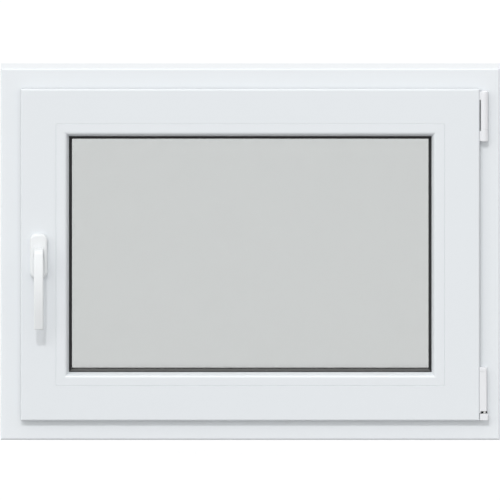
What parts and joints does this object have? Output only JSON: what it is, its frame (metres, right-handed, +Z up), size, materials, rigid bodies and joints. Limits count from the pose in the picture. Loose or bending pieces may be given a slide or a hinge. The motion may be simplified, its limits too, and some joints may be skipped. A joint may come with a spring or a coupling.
{
  "type": "tilt and turn window",
  "caption": "White plastic tilt and turn window with one sash, triple glazing, glazing beads, a lever handle and covered hinges, closed, seen from the room.",
  "frame": {"origin": "middle of the frame's bottom face, half way through its depth", "axes": "+X to the right as seen from the room, +Y out of the building, +Z up"},
  "size_m": [0.8, 0.1328, 0.6],
  "materials": {
    "frame_plastic": "smooth white, satin",
    "sash_plastic": "smooth white, satin",
    "bead_plastic": "smooth white, satin",
    "drain_plastic": "matt white",
    "hinge_covers": "smooth white",
    "handle_coating": "white powder coat, satin",
    "steel": "zinc plated",
    "dark_steel": "dark oiled steel, in shade",
    "seal_rubber": "matt black",
    "glass": "clear, faintly green",
    "spacer_metal": "mill finish"
  },
  "bodies": {
    "window": {"frame_sill": "frame_plastic", "frame_head": "frame_plastic", "frame_left_jamb": "frame_plastic", "frame_right_jamb": "frame_plastic", "sash_bottom_rail": "sash_plastic", "sash_top_rail": "sash_plastic", "sash_handle_stile": "sash_plastic", "sash_hinge_stile": "sash_plastic", "bead_bottom": "bead_plastic", "bead_top": "bead_plastic", "bead_left": "bead_plastic", "bead_right": "bead_plastic", "drain_cap_left": "drain_plastic", "drain_cap_right": "drain_plastic", "stay_hinge_sleeve": "hinge_covers", "stay_hinge_cap": "hinge_covers", "corner_hinge_rest": "hinge_covers", "corner_hinge_sleeve": "hinge_covers", "corner_hinge_cap": "hinge_covers", "stay_hinge_pin": "steel", "corner_hinge_pin": "steel", "stay_hinge_leaf": "dark_steel", "corner_hinge_plate": "dark_steel", "sash_seal": "seal_rubber", "frame_seal": "seal_rubber", "glass_seal_room": "seal_rubber", "glass_seal_outer": "seal_rubber", "pane_room": "glass", "pane_middle": "glass", "pane_outer": "glass", "spacer_room": "spacer_metal", "spacer_outer": "spacer_metal", "handle_rose": "handle_coating"},
    "handle": {"handle_lever": "handle_coating", "handle_spindle": "steel"}
  },
  "joints": [
    {"name": "handle_turn", "type": "hinge", "parent": "window", "child": "handle", "pos_m": [-0.339, -0.047, 0.299], "axis": [0, -1, 0], "range_deg": [0, 180]}
  ]
}
